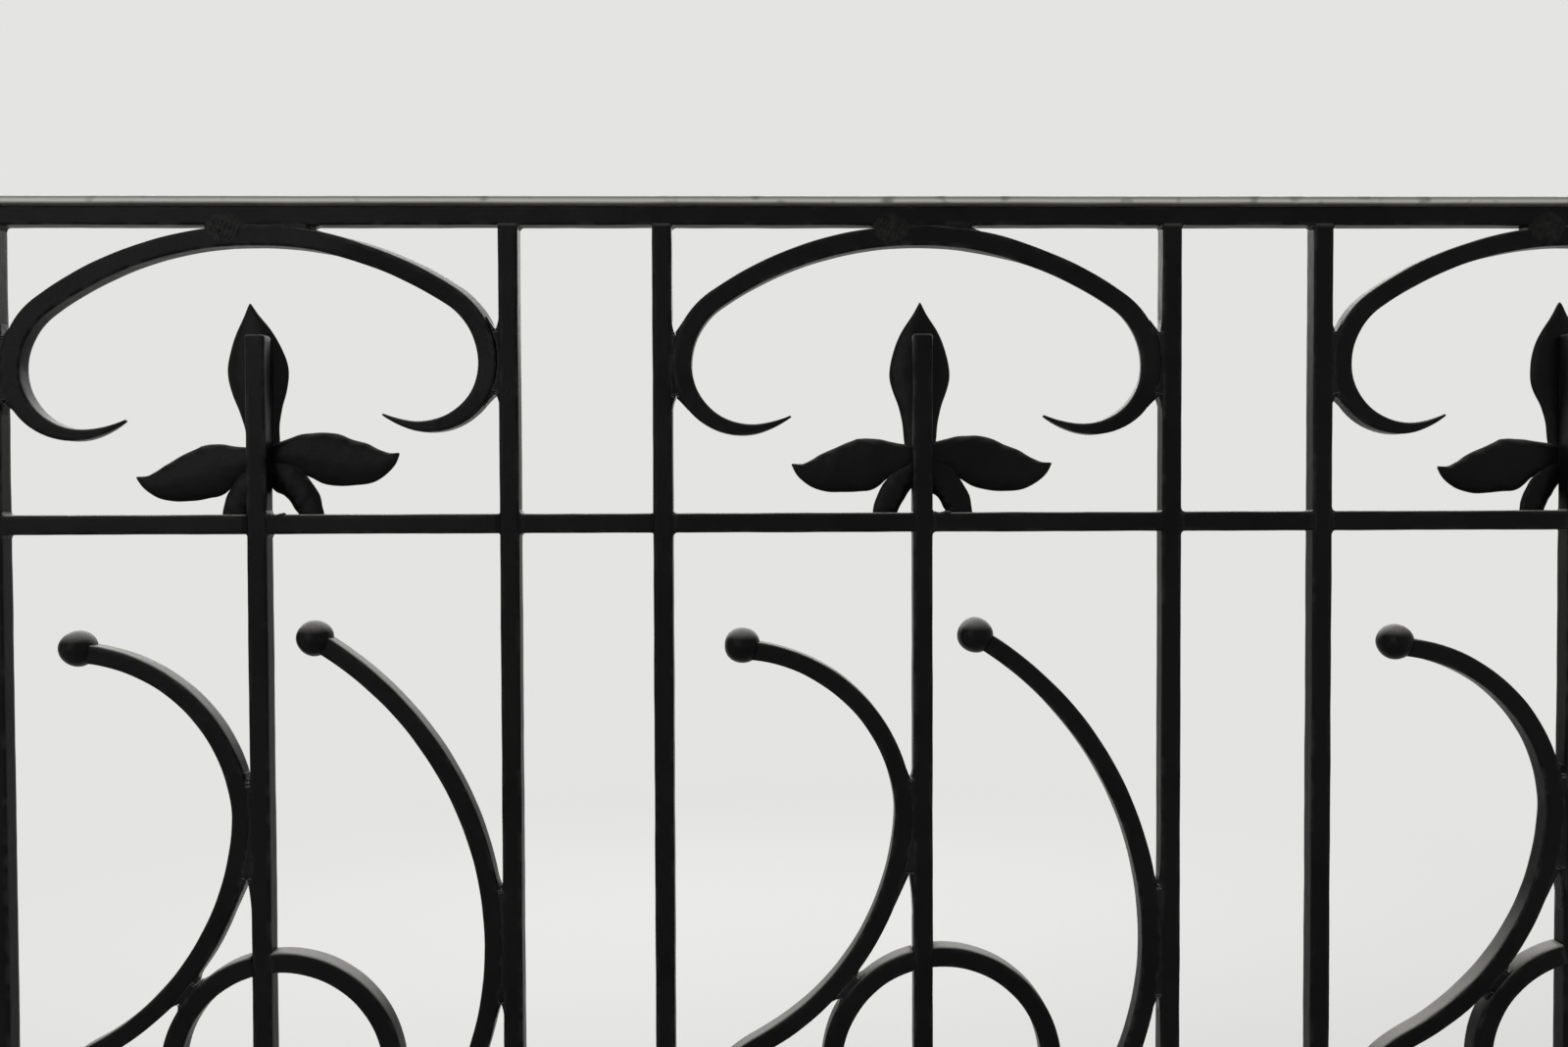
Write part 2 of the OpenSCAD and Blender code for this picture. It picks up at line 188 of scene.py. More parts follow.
# Handrail: mid grey, its thin paint rubbed smooth by hands and rain, with two
# light lines along each edge that are partly worn paint and partly painted highlights of the sky above and the floor
# below
handrailPaint = ironPaint("handrailPaint", basePaint | {
    "dark": "#5c5c5a", "light": "#6e6e6b", "brushStretch": (0.08, 1, 1), "glossy": 0.24, "matt": 0.38,
    "dustAndSkyLight": 0.15, "wearAndHighlight": 0.95, "wearAndHighlightFrom": 0.2, "wornAndHighlightTone": "#dddcd7", "shine": 0.4})
# Welds: paint lies thick in the ripples
weldPaint = ironPaint("weldBeadPaint", basePaint | {
    "hammerMm": 4, "hammerDepthMm": 0.8, "pitMm": 3, "light": "#202021", "matt": 0.4})
# Welds left rough on the front faces: thin paint over spatter, in a lighter grey that is partly dust and partly
# painted light caught on the ripples
spatterPaint = ironPaint("weldSpatterPaint", basePaint | {
    "dark": "#0e0e0e", "light": "#222221", "patchMm": 5, "hammerMm": 3, "hammerDepthMm": 1.0, "pitMm": 2.4,
    "pitDepthMm": 0.4, "matt": 0.5, "wearAndHighlightFrom": 0.5, "wornAndHighlightTone": "#5a5956", "wearAndHighlight": 0.7})
# Foot plates: splashed from the ground, so duller and dustier
footPaint = ironPaint("footPlatePaint", basePaint | {
    "dark": "#191918", "light": "#2b2a28", "glossy": 0.5, "matt": 0.7, "dustAndSkyLight": 0.6, "pitMm": 3.5,
    "pitDepthMm": 0.25})
print("paints mixed")


# Shapes are worked out in millimetres and put into the mesh in metres
def smoothCurve(stops, values, at):
    # cubic through the stops: each stop's slope is the mean slope around it
    stops, values = np.array(stops, float), np.array(values, float)
    slopes = np.gradient(values, stops)
    k = np.clip(np.searchsorted(stops, at) - 1, 0, len(stops) - 2)
    gap = stops[k + 1] - stops[k]
    t = (at - stops[k]) / gap
    return ((2 * t**3 - 3 * t**2 + 1) * values[k] + (t**3 - 2 * t**2 + t) * gap * slopes[k]
            + (3 * t**2 - 2 * t**3) * values[k + 1] + (t**3 - t**2) * gap * slopes[k + 1])


def followArcs(start, steps, spacing=5.0):
    # A step is (radius, turn), left positive, or (length, 0) for a straight run.
    # On an arc the heading grows evenly, and the place is the centre plus the
    # radius turned by the heading. Gives x, z, heading and distance.
    x, z, heading = start[0], start[1], math.radians(start[2])
    xs, zs, headings, distances = [x], [z], [heading], [0.0]
    run = 0.0
    for size, turn in steps:
        length = size * math.radians(abs(turn)) if turn else size
        share = np.linspace(0, 1, max(2, round(length / spacing) + 1))[1:]
        if turn:
            side = math.copysign(1, turn)
            bent = heading + math.radians(turn) * share
            newX = x + side * size * (np.sin(bent) - math.sin(heading))
            newZ = z - side * size * (np.cos(bent) - math.cos(heading))
        else:
            bent = np.full(len(share), heading)
            newX = x + size * share * math.cos(heading)
            newZ = z + size * share * math.sin(heading)
        xs, zs = np.append(xs, newX), np.append(zs, newZ)
        headings, distances = np.append(headings, bent), np.append(distances, run + length * share)
        x, z, heading, run = xs[-1], zs[-1], headings[-1], run + length
    return xs, zs, headings, distances


def straightPath(fromPoint, toPoint):
    across, rise = toPoint[0] - fromPoint[0], toPoint[1] - fromPoint[1]
    return followArcs((*fromPoint, math.degrees(math.atan2(rise, across))), [(math.hypot(across, rise), 0)])


def backAndOn(back, on):
    # one path that runs back along the first and goes on along the second
    return (np.concatenate([back[0][:0:-1], on[0]]), np.concatenate([back[1][:0:-1], on[1]]),
            np.concatenate([back[2][:0:-1] + math.pi, on[2]]),
            np.concatenate([back[3][-1] - back[3][:0:-1], back[3][-1] + on[3]]))


def wholeTurn(count):
    # this many even steps once round
    return np.linspace(0, 2 * math.pi, count + 1)[:-1]


def tubeFaces(rings, columns):
    # quads between neighbouring rings, and one flat face on each end
    r, c = np.meshgrid(np.arange(rings - 1), np.arange(columns), indexing="ij")
    here, beside = r * columns + c, r * columns + (c + 1) % columns
    quads = np.stack([here, here + columns, beside + columns, beside], -1).reshape(-1, 4)
    first = np.arange(columns)
    return quads.tolist() + [first.tolist(), ((rings - 1) * columns + first[::-1]).tolist()]


def flipped(faces):
    return [face[::-1] for face in faces]


def tube(points, inward=False, edges=0.0):
    # Points by ring and column, and the arris value of each column or point. Rings
    # that run the other way round give inward faces, which are flipped.
    rings, columns = points.shape[:2]
    faces = tubeFaces(rings, columns)
    return (points.reshape(-1, 3), flipped(faces) if inward else faces,
            np.broadcast_to(np.asarray(edges, float), (rings, columns)).reshape(-1))


# Section of a bar: four rounded corners, and two points on each flat that keep it flat.
# A point is u = a (width - r) + b r and v = c (depth - r) + d r, with r the arris. The
# first quarter, a corner and the flat after it, is turned to give the other three.
quarterTurn = np.radians([0, 30, 60, 90])


def barSection():
    a, c = np.array([1, 1, 1, 1, 0.62, -0.62]), np.ones(6)
    b, d = np.append(np.cos(quarterTurn), [0, 0]), np.append(np.sin(quarterTurn), [1, 1])
    quarters = []
    for _ in range(4):
        quarters.append((a, b, c, d))
        a, b, c, d = -c, -d, a, b
    return (*np.concatenate(quarters, 1), np.tile([0.45, 1, 1, 0.45, 0, 0], 4))


sectionA, sectionB, sectionC, sectionD, sectionEdge = barSection()

# Hand work: a bar's width and depth swell by two slow sines of the distance,
# each as millimetres for one radian, share, and shift by the bar's seed
widthWaves = ((23, 0.6, 1.7), (9.7, 0.4, 3.1))
depthWaves = ((27, 0.6, 2.3), (11.3, 0.4, 1.0))
thinMm = 6.0


def swell(halves, s, waves, seed):
    # thin tips swell less
    wave = sum(share * np.sin(s / reach + seed * shift) for reach, share, shift in waves)
    return wave * np.minimum(1, halves / thinMm)


def sweepBar(path, halfWidth, halfDepth, arris, seed, rough=0.12, roundEnds=(True, True), roll=None):
    # the section stands across the path: u along the path's left normal, v along Y
    xs, zs, headings, s = (np.array(part, float) for part in path)
    wide = np.broadcast_to(np.asarray(halfWidth, float), xs.shape).copy()
    deep = np.broadcast_to(np.asarray(halfDepth, float), xs.shape).copy()
    wide += rough * swell(wide, s, widthWaves, seed)
    deep += rough * swell(deep, s, depthWaves, seed)
    # A rounded end closes over its arris in four rings, shifted along the path. Each
    # pass turns the rows round, so the first works on the start and the second on the end.
    rows = np.stack([xs, zs, headings, s, wide, deep, np.zeros_like(s)])
    for rounded, sign in zip(roundEnds, (-1, 1)):
        rows = rows[:, ::-1]
        if rounded:
            r = min(arris, 0.8 * rows[4, -1], 0.8 * rows[5, -1])
            last = np.repeat(rows[:, -1:], 4, 1)
            last[4:6] -= (1 - np.cos(quarterTurn)) * r
            last[6] = sign * (np.sin(quarterTurn) - 1) * r
            rows = np.concatenate([rows[:, :-1], last], 1)
    xs, zs, headings, s, wide, deep, shift = rows
    xs, zs = xs + shift * np.cos(headings), zs + shift * np.sin(headings)
    r = np.minimum(arris, 0.6 * np.minimum(wide, deep))
    u = sectionA * (wide - r)[:, None] + sectionB * r[:, None]
    v = sectionC * (deep - r)[:, None] + sectionD * r[:, None]
    column = np.arange(len(sectionA))
    dent = rough * 0.5 * np.sin(s[:, None] / 6.1 + column * 0.9 + seed * 5) * np.sin(s[:, None] / 14.7 + column * 0.35)
    u, v = u + sectionB * dent, v + sectionD * dent
    if roll is not None:
        # twisted on the anvil: the section turns about the bar's own line
        c, d = np.cos(roll)[:, None], np.sin(roll)[:, None]
        u, v = u * c + v * d, v * c - u * d
    points = np.stack([
        xs[:, None] - u * np.sin(headings)[:, None],
        v,
        zs[:, None] + u * np.cos(headings)[:, None]], -1)
    return tube(points, edges=sectionEdge)


def ballSurface(centre, radius, heading, seed):
    # A ring at angle a from the pole has radius r sin a; the hammer leaves it a little uneven
    a, turn = np.meshgrid(np.radians(np.linspace(3, 177, 27)), wholeTurn(32), indexing="ij")
    size = radius * (1 + 0.012 * np.sin(3 * turn + seed) * np.sin(a) + 0.012 * np.sin(4 * a + seed * 2))
    along, u, v = -size * np.cos(a), size * np.sin(a) * np.cos(turn), size * np.sin(a) * np.sin(turn)
    return tube(np.stack([
        centre[0] + along * math.cos(heading) - u * math.sin(heading),
        v,
        centre[1] + along * math.sin(heading) + u * math.cos(heading)], -1))


def beadSurface(line, radius, rippleMm, seed):
    # A round bead along a line of points: its radius closes at both ends as a
    # half circle does, and ripples like a weld
    s = np.concatenate([[0], np.cumsum(np.linalg.norm(np.diff(line, axis=0), axis=1))])
    tangent = np.gradient(line, axis=0)
    tangent /= np.linalg.norm(tangent, axis=1)[:, None]
    # any direction that the line doesn't run along
    side = np.cross(tangent, (0.21, 0.13, 0.97))
    side /= np.linalg.norm(side, axis=1)[:, None]
    up = np.cross(side, tangent)
    nearEnd = np.clip(np.minimum(s, s[-1] - s) / (1.2 * radius), 0, 1)
    size = radius * np.sqrt(1 - (1 - nearEnd) ** 2 * 0.995) * (1 + 0.08 * np.sin(2 * math.pi * s / rippleMm + seed))
    turn = wholeTurn(10)
    return tube(line[:, None] + size[:, None, None]
                * (up[:, None] * np.cos(turn)[None, :, None] + side[:, None] * np.sin(turn)[None, :, None]), True)


def join(parts):
    points, faces, edges, count = [], [], [], 0
    for p, f, e in parts:
        points.append(p)
        edges.append(e)
        faces += [[i + count for i in face] for face in f]
        count += len(p)
    return np.concatenate(points), faces, np.concatenate(edges)


def makePiece(name, shape, paint, nodes=()):
    points, faces, edges = shape
    mesh = bpy.data.meshes.new(name)
    mesh.from_pydata((points * mm).tolist(), [], faces)
    mesh.attributes.new("arris", "FLOAT", "POINT").data.foreach_set("value", edges.astype(np.float32))
    # cut ends are flat, the rest is smooth
    mesh.polygons.foreach_set("use_smooth", np.array([len(face) == 4 for face in faces]))
    mesh.materials.append(paint)
    mesh.update()
    piece = addObject(name, mesh)
    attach(piece, "root")
    if nodes:
        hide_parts(*nodes)
    return piece


# The railing's lines, in millimetres from the middle foot
railing = {
    "bays": (-478.0, 0.0, 478.0),
    "bayWidth": 368.0,
    "stemShift": 3.5,
    "bar": 14.0,
    "postX": 772.0,
    "topRail": 1087.0,
    "middleRail": 866.5,
    "bottomRail": 75.5,
    "stemTop": 1002.0,
    "plate": 8.0,
    "arris": 1.5,
}
half = railing["bar"] / 2
barPlaces = [x + side * railing["bayWidth"] / 2 for x in railing["bays"] for side in (-1, 1)]
stemPlaces = [x + railing["stemShift"] for x in railing["bays"]]
barTop, barFoot = railing["topRail"] - half, railing["bottomRail"] + half


def upright(x, low, high, seed, roundTop=False):
    path = straightPath((x, low), (x, high))
    return sweepBar(path, half, half, railing["arris"], seed, roundEnds=(False, roundTop))


for n, x in enumerate(barPlaces):
    makePiece(f"bayBar_{n + 1}", upright(x, barFoot - 1, barTop + 1, n + 0.4), uprightPaint,
              [f"bay_bar_{n + 1}"])
for n, x in enumerate(stemPlaces):
    makePiece(f"stemBar_{n + 1}", upright(x, railing["plate"] - 1, railing["stemTop"], n + 7.3, True), uprightPaint,
              [f"stem_{n + 1}"])
for side, word in ((-1, "left"), (1, "right")):
    makePiece(f"endPost_{word}", upright(side * railing["postX"], railing["plate"] - 1, barTop + 1, 11.1 + side),
              uprightPaint, [f"end_post_{word}"])
print("uprights built")


def railBetween(stops, z, seed):
    return [sweepBar(straightPath((a + half - 1, z), (b - half + 1, z)), half, half, railing["arris"], seed + k * 0.7,
                     roundEnds=(False, False)) for k, (a, b) in enumerate(zip(stops, stops[1:]))]


ends = railing["postX"]
uprights = sorted(barPlaces + stemPlaces + [-ends, ends])
topRail = sweepBar(straightPath((-ends - half, railing["topRail"]), (ends + half, railing["topRail"])), half, half,
                   railing["arris"], 2.2)
makePiece("topRail", topRail, railPaint, ["top_rail"])
makePiece("middleRail", join(railBetween(uprights, railing["middleRail"], 3.1)), railPaint,
          ["middle_rail"])
makePiece("bottomRail", join(railBetween([-ends, *stemPlaces, ends], railing["bottomRail"], 5.2)), railPaint,
          ["bottom_rail"])

# Handrail: a flat strip with half-round edges, worn hollow by a few tenths here and there
handrail = {"width": 24.0, "thick": 6.0, "top": 1100.0, "overhang": 8.0, "endRound": 0.8}


def handrailSurface(look):
    x = np.linspace(-ends - half - look["overhang"], ends + half + look["overhang"], 330)
    r = look["thick"] / 2
    bend = np.radians(np.linspace(-90, 90, 9))
    flat = look["width"] / 2 - r
    across = np.concatenate([flat + r * np.cos(bend), np.linspace(flat, -flat, 7)[1:-1],
                             -flat - r * np.cos(bend), np.linspace(-flat, flat, 7)[1:-1]])
    high = np.concatenate([r * np.sin(bend), np.full(5, r), -r * np.sin(bend), np.full(5, -r)])
    # the first and last two rings round the cut ends off
    inset = np.zeros(len(x))
    inset[[0, -1]] = look["endRound"]
    x[1], x[-2] = x[0] + look["endRound"], x[-1] - look["endRound"]
    wave = 0.12 * np.sin(x / 31) + 0.08 * np.sin(x / 12.7 + 2)
    points = np.stack([
        np.broadcast_to(x[:, None], (len(x), len(across))),
        across * (1 - inset[:, None] / (look["width"] / 2)) + wave[:, None] * np.sign(across),
        look["top"] - r + high * (1 - inset[:, None] / r) + wave[:, None] * 0.5 * (high < 0)], -1)
    # from the underside up: none, the lower light line (wear and a painted highlight of the floor), the paint left in
    # the middle, the upper light line (wear and a painted highlight of the sky)
    wearAndHighlightLines = [0, 0, 0.4, 1, 0.65, 0.2, 0.6, 0.9, 0.4]
    return tube(points, True, wearAndHighlightLines + [0] * 5 + wearAndHighlightLines[::-1] + [0] * 5)


makePiece("handrailStrip", handrailSurface(handrail), handrailPaint, ["handrail"])
print("rails built")

# Forged bars have a rounder arris than the rolled ones
forgedArris = 1.6

# Scrolls: chains of arcs from the point where each touches the stem or its bay bar
scroll = {
    "bar": 13.5, "ball": 26.0, "lift": 3.0, "rough": 0.18,
    "leftTouch": 656.0, "rightTouch": 560.0,
    "head": (124.0, 81.0), "heel": (74.0, 6.0),
    "back": (199.0, 62.0), "flat": 27.0, "arm": (260.0, 59.5), "belly": (235.0, 60.0),
}
barSide = (railing["bayWidth"] - railing["bar"] - scroll["bar"]) / 2
touchLeft = railing["stemShift"] - (railing["bar"] + scroll["bar"]) / 2
touchRight = railing["stemShift"] + (railing["bar"] + scroll["bar"]) / 2


def easeRadius(centre, radius, swing, wall):
    # radius of the bend that leads an arc about this centre out upright at the wall
    return (centre + radius * math.cos(swing) - wall) / (1 - math.cos(swing))


def scrollShape(x, touch, up, down, upLift, downLift, seed):
    upPath = followArcs((x + touch[0], touch[1], 90), up)
    downPath = followArcs((x + touch[0], touch[1], 270), down)
    parts = [sweepBar(backAndOn(upPath, downPath), scroll["bar"] / 2, scroll["bar"] / 2, forgedArris, seed,
                      scroll["rough"], (False, False))]
    for path, lift, k in ((upPath, upLift, 0), (downPath, downLift, 1)):
        heading = path[2][-1]
        centre = (path[0][-1] - lift * math.sin(heading), path[1][-1] + lift * math.cos(heading))
        parts.append(ballSurface(centre, scroll["ball"] / 2, heading, seed + k))
    return join(parts)


headSteps = [scroll["heel"], scroll["head"]]
heelHalf = math.radians(scroll["heel"][1] / 2)
backSwing = math.radians(scroll["back"][1])
heelEnd = touchLeft - scroll["heel"][0] * (1 - math.cos(heelHalf))
kneeRadius = easeRadius(heelEnd - scroll["back"][0] * math.cos(heelHalf), scroll["back"][0], backSwing, -barSide)
bellySwing = math.radians(scroll["belly"][1])
hollowRadius = easeRadius(barSide - scroll["belly"][0], scroll["belly"][0], bellySwing, touchRight)
leftDown = [
    (scroll["heel"][0], -scroll["heel"][1] / 2),
    (scroll["back"][0], scroll["heel"][1] / 2 - scroll["back"][1]),
    (kneeRadius, scroll["back"][1]),
    (scroll["flat"], 0),
    scroll["arm"],
]
rightDown = [
    (scroll["belly"][0], -scroll["belly"][1]),
    (hollowRadius, scroll["belly"][1]),
    *headSteps,
]
for n, x in enumerate(railing["bays"]):
    makePiece(f"scrollLeft_{n + 1}", scrollShape(
        x, (touchLeft, scroll["leftTouch"]), headSteps, leftDown, -scroll["lift"], 0, n + 1.3),
        scrollPaint, [f"scroll_left_{n + 1}"])
    makePiece(f"scrollRight_{n + 1}", scrollShape(
        x, (barSide, scroll["rightTouch"]), [scroll["arm"]], rightDown, 0, -scroll["lift"], n + 4.8),
        scrollPaint, [f"scroll_right_{n + 1}"])
print("scrolls forged")

# Rings: two bent lengths that run 1 mm into the stem's sides
ring = {"outer": 87.5, "bar": 14.5, "x": 17.0, "z": 470.0, "rough": 0.15}


def ringShape(x, seed):
    middle = ring["outer"] - ring["bar"] / 2
    parts = []
    for side, place in ((-1, railing["stemShift"] - half + 1), (1, railing["stemShift"] + half - 1)):
        opening = math.degrees(math.acos((place - ring["x"]) / middle))
        # heading along the circle, from the top round this side to the bottom
        start = (x + place, ring["z"] + middle * math.sin(math.radians(opening)), opening - 90 * side)
        sweep = 2 * (180 - opening) if side < 0 else 2 * opening
        parts.append(sweepBar(followArcs(start, [(middle, -side * sweep)], 4), ring["bar"] / 2, ring["bar"] / 2,
                              forgedArris, seed + side, ring["rough"], (False, False)))
    return join(parts)


for n, x in enumerate(railing["bays"]):
    makePiece(f"ring_{n + 1}", ringShape(x, n + 2.6), scrollPaint, [f"ring_{n + 1}"])
print("rings bent")

# Horseshoe: two tendrils from the crown under the top rail, drawn out to a point
horn = {
    "width": 14.0, "crownWidth": 14.5, "crownRun": 55.0, "crown": (254.0, 35.0), "hook": (46.5, 104.0),
    "tip": (80.0, 16.0), "tipWidth": 1.6, "depthShare": 1.6, "rough": 0.15, "turn": (1.3, 0, 0), "roll": 14.0,
    "rollAt": (45.0, 205.0), "rollFade": 45.0,
}
crownSine = math.sin(math.radians(horn["crown"][1]))
shoulderRadius = (barSide + (scroll["bar"] - horn["width"]) / 2 - horn["crown"][0] * crownSine) / (1 - crownSine)
hornSteps = [(horn["crown"][0], -horn["crown"][1]), (shoulderRadius, horn["crown"][1] - 90),
             (horn["hook"][0], -horn["hook"][1]), (horn["tip"][0], -horn["tip"][1])]
hornStart = (0, barTop - horn["crownWidth"] / 2, 0)
hornPath = followArcs(hornStart, hornSteps, 4)
# height of the widest place, about which each horseshoe is turned
hornMiddle = followArcs(hornStart, hornSteps[:2])[1][-1]


def turnedBy(degrees, x, z, centreZ):
    a = math.radians(degrees)
    return x * math.cos(a) - (z - centreZ) * math.sin(a), centreZ + x * math.sin(a) + (z - centreZ) * math.cos(a)


def hornHalf(s):
    # widest at the crown, even along the arm, then narrowing with the square of the distance
    body = horn["crown"][0] * math.radians(horn["crown"][1]) + shoulderRadius * math.radians(90 - horn["crown"][1])
    share = np.clip((s - body) / (s[-1] - body), 0, 1)
    taper = horn["width"] + (horn["tipWidth"] - horn["width"]) * share**2
    crown = horn["crownWidth"] + (horn["width"] - horn["crownWidth"]) * s / horn["crownRun"]
    return np.where(s < horn["crownRun"], crown, taper) / 2


# Both tendrils in one sweep from tip to tip, so that no seam shows in the hammered crown:
# the left half is the right one mirrored and run backwards
hornXs, hornZs, hornHeadings, hornRuns = hornPath
hornWide = hornHalf(hornRuns)
wholeHorn = backAndOn((-hornXs, hornZs, -math.pi - hornHeadings, hornRuns), hornPath)
wholeWide = np.concatenate([hornWide[:0:-1], hornWide])
wholeDeep = np.minimum(horn["width"] / 2, wholeWide * horn["depthShare"])
# the right arm is twisted, so that its outer side shows from the room: the twist comes in
# beside the crown and goes out from the arm's widest place on
rollIn, rollOut = (np.clip((hornRuns - start) / horn["rollFade"], 0, 1) for start in horn["rollAt"])
hornRoll = math.radians(horn["roll"]) * (rollIn**2 * (3 - 2 * rollIn) - rollOut**2 * (3 - 2 * rollOut))
wholeRoll = np.concatenate([0 * hornRoll[:0:-1], hornRoll])
for n, x in enumerate(railing["bays"]):
    points, faces, edges = sweepBar(wholeHorn, wholeWide, wholeDeep, forgedArris, n * 1.9, horn["rough"],
                                    (False, False), wholeRoll)
    points[:, 0], points[:, 2] = turnedBy(horn["turn"][n], points[:, 0], points[:, 2], hornMiddle)
    points[:, 0] += x
    makePiece(f"horseshoe_{n + 1}", (points, faces, edges), scrollPaint,
              [f"tendril_left_{n + 1}", f"tendril_right_{n + 1}"])
print("tendrils drawn out")

# Flower: five petals cut from sheet, dished and bent back, behind the stem
flower = {
    "heart": 915.0, "sheet": 3.0, "petal": 112.0, "below": 10.0, "dish": 4.0, "dishAt": 20.0, "bend": 3.0,
    "turn": (5, 0, 2),
    "petalHalf": ((0, 9), (0.16, 11.8), (0.29, 13.2), (0.375, 15.8), (0.46, 19.6), (0.55, 21.9), (0.64, 21.4),
                  (0.72, 19), (0.84, 12.3), (0.94, 4.5), (1, 0.6)),
    # the right wing and root are 1, the left ones -1: the snips cut them a little differently
    "wing": {1: 96.9, -1: 94.2},
    "wingHalf": {
        1: ((0, 7), (0.2, 10.8), (0.275, 14.1), (0.335, 16.1), (0.41, 17.8), (0.49, 18.8), (0.575, 18.1), (0.67, 16.3),
            (0.8, 13), (0.865, 9.7), (0.94, 5.1), (1, 0.6)),
        -1: ((0, 7), (0.24, 13), (0.31, 15.8), (0.375, 18.5), (0.43, 19.6), (0.5, 18.6), (0.62, 16.9), (0.735, 14.4),
             (0.85, 9.9), (0.93, 5.3), (1, 0.6))},
    "wingLine": {
        1: ((0, 0), (0.2, 1.6), (0.275, 0.8), (0.335, -0.7), (0.41, -2.7), (0.49, -5.5), (0.575, -8.2), (0.67, -10),
            (0.8, -11.5), (0.865, -11), (0.94, -9.1), (1, -5.7)),
        -1: ((0, 0), (0.24, -2.1), (0.31, -3), (0.375, -4.6), (0.43, -6.2), (0.5, -7.7), (0.62, -10.2), (0.735, -12),
             (0.85, -12.1), (0.93, -10.2), (1, -6))},
    "rootHalf": {
        1: ((0, 9), (0.3, 12.8), (0.45, 10.8), (0.6, 10.6), (0.72, 10.5), (0.85, 9.4), (1, 8.5)),
        -1: ((0, 7), (0.3, 9), (0.6, 9.5), (1, 8))},
    "rootLine": {1: ((2, -8), (27, -21), (30.5, -48)), -1: ((2, -8), (24, -24), (28, -49))},
}
petalShare = np.linspace(0, 1, 61)


def petalShape(line, halves, tipBend, seed):
    # Across the petal the outline is a flat oval |s|^6 + v^2 = 1, so the sheet's
    # edges are rounded; the sheet bends back with s^2 and with the length squared
    along = np.gradient(line, axis=0)
    along /= np.linalg.norm(along, axis=1)[:, None]
    wide = smoothCurve(*zip(*halves), petalShare) * (1 + 0.012 * np.sin(petalShare * 23 + seed))
    turn = wholeTurn(44)
    s = np.sign(np.cos(turn)) * np.abs(np.cos(turn)) ** (1 / 3)
    v = np.sin(turn)
    back = half + flower["sheet"] / 2 + flower["dish"] * s**2 * wide[:, None] / flower["dishAt"]
    hammered = 0.25 * np.sin(petalShare[:, None] * 31 + s * 3 + seed) * np.cos(s * 5 + petalShare[:, None] * 9)
    y = back + tipBend * petalShare[:, None]**2 + v * flower["sheet"] / 2 * np.minimum(1, wide[:, None] / 2) + hammered
    points = np.stack([
        line[:, :1] + along[:, 1:] * wide[:, None] * s,
        y,
        line[:, 1:] - along[:, :1] * wide[:, None] * s], -1)
    # worn along the sheet's edges, but not where the petals are joined
    return tube(points, True, (np.abs(s) > 0.97) * np.clip(petalShare * 8 - 1.5, 0, 1)[:, None])


def flowerShape(x, turn, seed):
    t = petalShare
    middle = np.stack([0 * t, (flower["petal"] + flower["below"]) * t - flower["below"]], -1)
    parts = [petalShape(middle, flower["petalHalf"], flower["bend"], seed)]
    for side in (1, -1):
        wing = np.stack([flower["wing"][side] * t, smoothCurve(*zip(*flower["wingLine"][side]), t)], -1)
        a, b, c = (np.array(point, float) for point in flower["rootLine"][side])
        root = (1 - t)[:, None]**2 * a + (2 * t * (1 - t))[:, None] * b + t[:, None]**2 * c
        for line, halves, bend in ((wing, flower["wingHalf"][side], flower["bend"]),
                                   (root, flower["rootHalf"][side], 0)):
            points, faces, rim = petalShape(line, halves, bend, seed + 2 + side)
            points[:, 0] *= side
            parts.append((points, faces if side > 0 else flipped(faces), rim))
    points, faces, rim = join(parts)
    points[:, 0], points[:, 2] = turnedBy(turn, points[:, 0], points[:, 2], 0)
    return points + (x, 0, flower["heart"]), faces, rim


for n, x in enumerate(stemPlaces):
    makePiece(f"flower_{n + 1}", flowerShape(x, flower["turn"][n], n * 1.3), leafPaint,
              [f"flower_{n + 1}"])
print("flowers cut and dished")

# Welds: a hollow fillet in each corner where an upright meets a rail. The welder
# stood to the left, so the right-hand corners got more.
weld = {
    "rightFillet": 2.7, "leftFillet": 1.1, "sunk": 0.6, "ripple": 2.2, "bite": 1.1, "deep": 6.7, "arris": 1.1,
    "step": 0.9,
}
chance = np.random.default_rng(11)


def cornerFillet(x, z, towardsX, towardsZ):
    # Section: two legs sunk into the bars, and between them the hollow quarter circle
    # r - r sin a, r - r cos a. It runs through the bars' depth; r ripples and shrinks
    # at both ends.
    size = weld["rightFillet" if towardsX > 0 else "leftFillet"] * chance.uniform(0.8, 1.2)
    y = np.linspace(-half + 0.5, half - 0.5, 25)
    ripple = 0.09 * np.sin(2 * math.pi * y / weld["ripple"] + chance.uniform(0, 6))
    r = size * (1 + ripple + chance.normal(0, 0.03, len(y)))
    r = (r * np.sqrt(1 - 0.75 * np.abs(y / half) ** 8))[:, None]
    a = np.radians(np.linspace(0, 90, 8))
    legs = np.full_like(r, -weld["sunk"])
    across = np.concatenate([r, r * (1 - np.sin(a)), legs, legs], 1)
    rise = np.concatenate([legs, r * (1 - np.cos(a)), r, legs], 1)
    points = np.stack([x + towardsX * across, np.broadcast_to(y[:, None], across.shape), z + towardsZ * rise], -1)
    return tube(points, towardsX * towardsZ > 0)


def crossing(x, z, ways=(1, -1), sides=(-1, 1)):
    # ways: 1 for the corners above the rail, -1 for those below it
    return [cornerFillet(x + side * half, z + way * half, side, way) for side in sides for way in ways]


